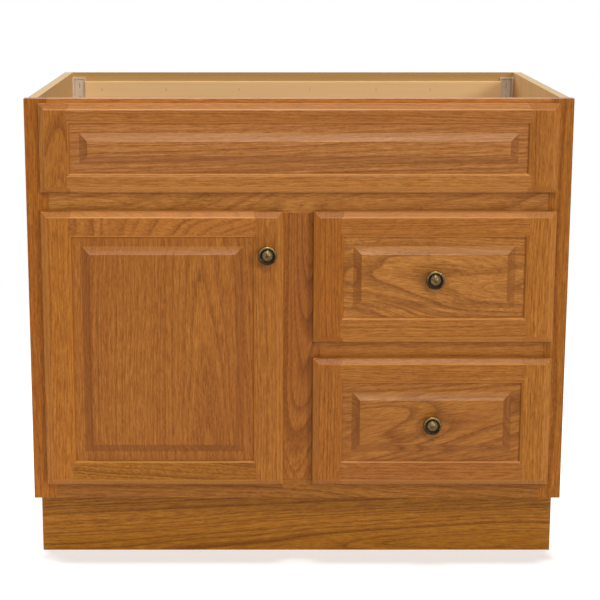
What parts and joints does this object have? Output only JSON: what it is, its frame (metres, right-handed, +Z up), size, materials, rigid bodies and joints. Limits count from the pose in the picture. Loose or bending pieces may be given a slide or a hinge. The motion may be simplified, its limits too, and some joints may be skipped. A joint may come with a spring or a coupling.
{
  "type": "bath vanity cabinet",
  "caption": "Open-topped face-frame base cabinet with a fixed false front over a sink space, a panelled door on concealed hinges and stacked panelled drawers on roller runners.",
  "frame": {"origin": "on the floor, under the middle of the overall box, knobs included", "axes": "+X to the right seen from the front, along the cabinet's width; +Y from the front to the wall; +Z up"},
  "size_m": [0.9144, 0.5804, 0.8128],
  "materials": {
    "stained_oak": "satin lacquer",
    "wood_laminate": "matt printed laminate",
    "hardboard": "matt",
    "rail_board": "matt",
    "drawer_board": "satin",
    "brace_plastic": "moulded",
    "antique_brass": "antiqued, lacquered",
    "nickel_plated_steel": "nickel plated",
    "zinc_plated_steel": "bright zinc",
    "white_epoxy_steel": "epoxy coated",
    "white_nylon": "moulded",
    "clear_bumper": "clear"
  },
  "bodies": {
    "cabinet": {"left_side_panel": "wood_laminate", "right_side_panel": "wood_laminate", "back_panel": "hardboard", "hanging_rail": "rail_board", "hanging_rail_nails": "zinc_plated_steel", "bottom_panel": "wood_laminate", "toe_kick_board": "stained_oak", "partition_panel": "wood_laminate", "runner_blocks": "rail_board", "corner_braces": "brace_plastic", "brace_staples": "zinc_plated_steel", "frame_stiles": "stained_oak", "frame_top_rail": "stained_oak", "frame_mid_rail": "stained_oak", "frame_bottom_rail": "stained_oak", "frame_mullion": "stained_oak", "frame_drawer_rail": "stained_oak", "bumpers": "clear_bumper", "false_front_stiles": "stained_oak", "false_front_rails": "stained_oak", "false_front_panel": "stained_oak", "false_front_screws": "zinc_plated_steel", "hinge_arms": "nickel_plated_steel", "hinge_arm_screws": "zinc_plated_steel", "upper_cabinet_runners": "white_epoxy_steel", "lower_cabinet_runners": "white_epoxy_steel", "runner_screws": "zinc_plated_steel", "front_roller_rivets": "zinc_plated_steel"},
    "door": {"door_stiles": "stained_oak", "door_rails": "stained_oak", "door_panel": "stained_oak", "door_knob": "antique_brass", "door_knob_screw": "zinc_plated_steel", "hinge_cups": "nickel_plated_steel", "hinge_pins": "zinc_plated_steel", "hinge_cup_screws": "zinc_plated_steel"},
    "upper_drawer": {"upper_drawer_front_stiles": "stained_oak", "upper_drawer_front_rails": "stained_oak", "upper_drawer_front_panel": "stained_oak", "upper_drawer_sides": "drawer_board", "upper_drawer_ends": "drawer_board", "upper_drawer_bottom": "drawer_board", "upper_drawer_knob": "antique_brass", "upper_drawer_screws": "zinc_plated_steel", "upper_drawer_runners": "white_epoxy_steel", "upper_drawer_rivets": "zinc_plated_steel"},
    "lower_drawer": {"lower_drawer_front_stiles": "stained_oak", "lower_drawer_front_rails": "stained_oak", "lower_drawer_front_panel": "stained_oak", "lower_drawer_sides": "drawer_board", "lower_drawer_ends": "drawer_board", "lower_drawer_bottom": "drawer_board", "lower_drawer_knob": "antique_brass", "lower_drawer_screws": "zinc_plated_steel", "lower_drawer_runners": "white_epoxy_steel", "lower_drawer_rivets": "zinc_plated_steel"},
    "upper_front_roller_pair": {"upper_front_rollers": "white_nylon"},
    "lower_front_roller_pair": {"lower_front_rollers": "white_nylon"},
    "upper_rear_roller_pair": {"upper_rear_rollers": "white_nylon"},
    "lower_rear_roller_pair": {"lower_rear_rollers": "white_nylon"}
  },
  "joints": [
    {"name": "door_swing", "type": "hinge", "parent": "cabinet", "child": "door", "pos_m": [-0.4246, -0.25517, 0.3866], "axis": [0, 0, -1], "range_deg": [0, 105]},
    {"name": "upper_drawer_slide", "type": "slide", "parent": "cabinet", "child": "upper_drawer", "axis": [0, -1, 0], "range_m": [0, 0.3429]},
    {"name": "lower_drawer_slide", "type": "slide", "parent": "cabinet", "child": "lower_drawer", "axis": [0, -1, 0], "range_m": [0, 0.3429]},
    {"name": "upper_front_roller_spin", "type": "hinge", "parent": "cabinet", "child": "upper_front_roller_pair", "pos_m": [0.2286, -0.21568, 0.428], "axis": [1, 0, 0], "range_deg": [0, 1800]},
    {"name": "upper_rear_roller_spin", "type": "hinge", "parent": "upper_drawer", "child": "upper_rear_roller_pair", "pos_m": [0.2286, 0.20153, 0.4261], "axis": [1, 0, 0], "range_deg": [0, 1800]},
    {"name": "lower_front_roller_spin", "type": "hinge", "parent": "cabinet", "child": "lower_front_roller_pair", "pos_m": [0.2286, -0.21568, 0.17475], "axis": [1, 0, 0], "range_deg": [0, 1800]},
    {"name": "lower_rear_roller_spin", "type": "hinge", "parent": "lower_drawer", "child": "lower_rear_roller_pair", "pos_m": [0.2286, 0.20153, 0.17285], "axis": [1, 0, 0], "range_deg": [0, 1800]}
  ],
  "couplings": [
    {"joint": "upper_front_roller_spin", "follows": "upper_drawer_slide", "rad_per_m": 90.909},
    {"joint": "upper_rear_roller_spin", "follows": "upper_drawer_slide", "rad_per_m": 90.909},
    {"joint": "lower_front_roller_spin", "follows": "lower_drawer_slide", "rad_per_m": 90.909},
    {"joint": "lower_rear_roller_spin", "follows": "lower_drawer_slide", "rad_per_m": 90.909}
  ]
}
